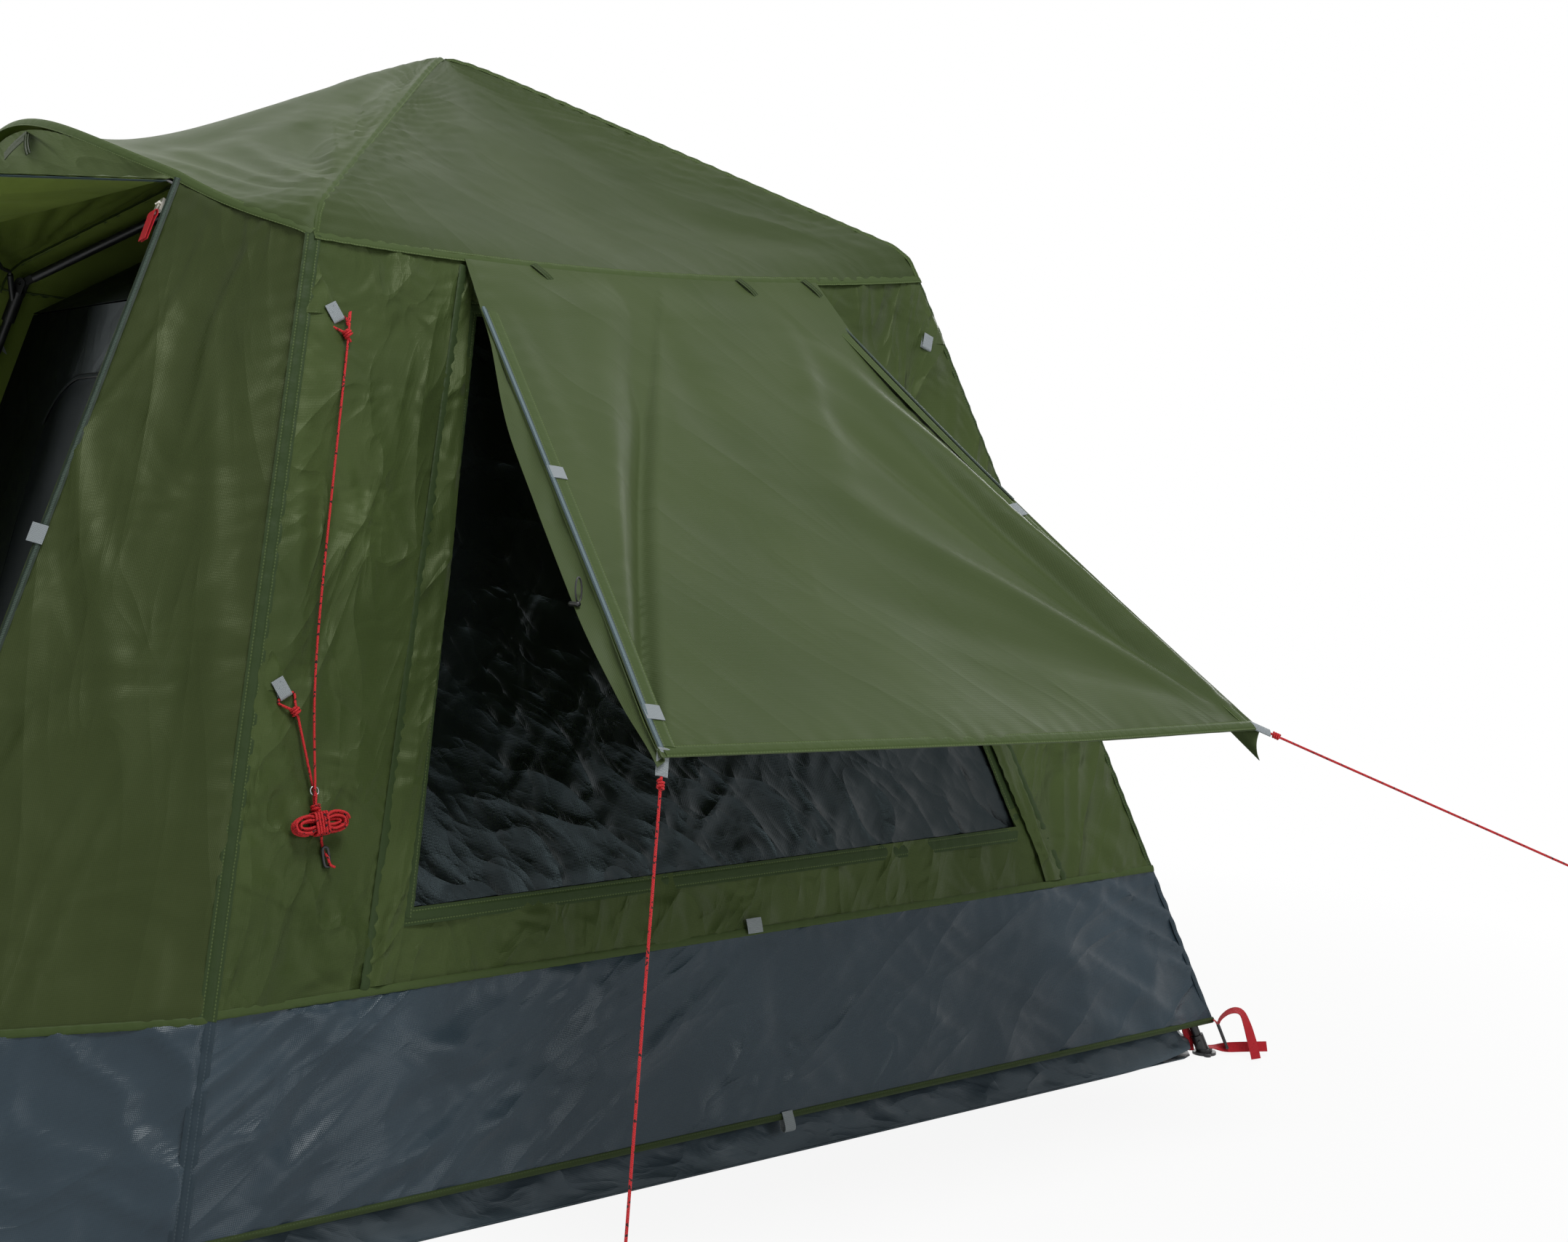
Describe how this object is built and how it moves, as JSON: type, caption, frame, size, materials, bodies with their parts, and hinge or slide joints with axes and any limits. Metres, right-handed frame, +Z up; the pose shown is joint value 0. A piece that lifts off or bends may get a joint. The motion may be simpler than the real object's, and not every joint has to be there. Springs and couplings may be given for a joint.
{
  "type": "instant-frame cabin tent",
  "caption": "Square cabin tent on a telescoping hub frame, with a propped window awning, a screened window, a grey skirt, and a front vestibule with a lifted door panel.",
  "frame": {"origin": "ground under the hub, on the underside of the floor tub", "axes": "+Z up, the door faces -Y, the propped window awning is on +X"},
  "size_m": [3.3065, 4.179, 2.209],
  "materials": {
    "olive_fabric": "satin",
    "slate_fabric": "satin",
    "black_mesh": "matte",
    "black_fabric": "matte",
    "black_tube": "satin",
    "steel": "satin",
    "red_rope": "matte",
    "grey_webbing": "matte",
    "black_plastic": "matte"
  },
  "bodies": {
    "shelter": {"hub_body": "black_plastic", "hub_cap": "black_plastic", "pivot_pins": "steel", "roof_pole_fr": "black_tube", "roof_pole_fl": "black_tube", "roof_pole_br": "black_tube", "roof_pole_bl": "black_tube", "elbow_fr": "black_plastic", "elbow_fl": "black_plastic", "elbow_br": "black_plastic", "elbow_bl": "black_plastic", "upper_leg_fr": "black_tube", "upper_leg_fl": "black_tube", "upper_leg_br": "black_tube", "upper_leg_bl": "black_tube", "leg_locks": "black_plastic", "brow_pole": "black_plastic", "door_props": "steel", "roof_front": "olive_fabric", "roof_right": "olive_fabric", "roof_back": "olive_fabric", "roof_left": "olive_fabric", "wall_right": "olive_fabric", "wall_left": "olive_fabric", "wall_back": "olive_fabric", "vestibule_right": "olive_fabric", "vestibule_left": "olive_fabric", "skirt_right": "slate_fabric", "skirt_left": "slate_fabric", "skirt_back": "slate_fabric", "vestibule_skirts": "slate_fabric", "hem_piping": "olive_fabric", "brow_gable": "olive_fabric", "window_screen_right": "black_mesh", "window_screen_left": "black_mesh", "floor_tub": "black_fabric", "inner_walls": "black_fabric", "inner_front": "olive_fabric", "inner_roof": "black_fabric", "awning_guy_front": "red_rope", "awning_guy_back": "red_rope", "bridle_rope": "red_rope", "guy_hank": "red_rope", "guy_fittings": "steel", "webbing_tabs": "grey_webbing", "corner_straps": "red_rope"},
    "awning_right": {"awning_right": "olive_fabric"},
    "awning_left": {"awning_left": "olive_fabric"},
    "door_panel": {"door_panel": "olive_fabric"},
    "inner_door": {"inner_door": "black_mesh"},
    "door_slider": {"door_slider": "steel"},
    "door_pull": {"door_pull": "red_rope"},
    "leg_fr": {"lower_leg_fr": "steel", "foot_fr": "black_plastic"},
    "leg_fl": {"lower_leg_fl": "steel", "foot_fl": "black_plastic"},
    "leg_br": {"lower_leg_br": "steel", "foot_br": "black_plastic"},
    "leg_bl": {"lower_leg_bl": "steel", "foot_bl": "black_plastic"}
  },
  "joints": [
    {"name": "awning_right_swing", "type": "hinge", "parent": "shelter", "child": "awning_right", "pos_m": [0.77489, 0, 1.635], "axis": [0, 1, 0], "range_deg": [0, 30], "deforming": ["awning_guy_front", "awning_guy_back"]},
    {"name": "awning_left_swing", "type": "hinge", "parent": "shelter", "child": "awning_left", "pos_m": [-0.77489, 0, 1.635], "axis": [0, 1, 0], "range_deg": [0, 34]},
    {"name": "door_panel_lift", "type": "hinge", "parent": "shelter", "child": "door_panel", "pos_m": [0, -0.90502, 1.81028], "axis": [-1, 0, 0], "range_deg": [0, 45]},
    {"name": "inner_door_swing", "type": "hinge", "parent": "shelter", "child": "inner_door", "pos_m": [-0.4496, -0.96257, 0.74614], "axis": [0, -0.2855, -0.9584], "range_deg": [0, 100]},
    {"name": "door_zip", "type": "slide", "parent": "shelter", "child": "door_slider", "axis": [0.2413, -0.457, -0.8561], "range_m": [0, 1.5]},
    {"name": "door_pull_swing", "type": "hinge", "parent": "door_slider", "child": "door_pull", "pos_m": [0.50789, -0.94195, 1.76259], "axis": [-0.9704, -0.1136, -0.2129], "range_deg": [0, 80]},
    {"name": "leg_slide_fr", "type": "slide", "parent": "shelter", "child": "leg_fr", "axis": [-0.244, 0.2769, 0.9294], "range_m": [0, 0.7], "deforming": ["corner_straps"]},
    {"name": "leg_slide_fl", "type": "slide", "parent": "shelter", "child": "leg_fl", "axis": [0.244, 0.2769, 0.9294], "range_m": [0, 0.7], "deforming": ["corner_straps"]},
    {"name": "leg_slide_br", "type": "slide", "parent": "shelter", "child": "leg_br", "axis": [-0.244, -0.2769, 0.9294], "range_m": [0, 0.7], "deforming": ["corner_straps"]},
    {"name": "leg_slide_bl", "type": "slide", "parent": "shelter", "child": "leg_bl", "axis": [0.244, -0.2769, 0.9294], "range_m": [0, 0.7], "deforming": ["corner_straps"]}
  ]
}
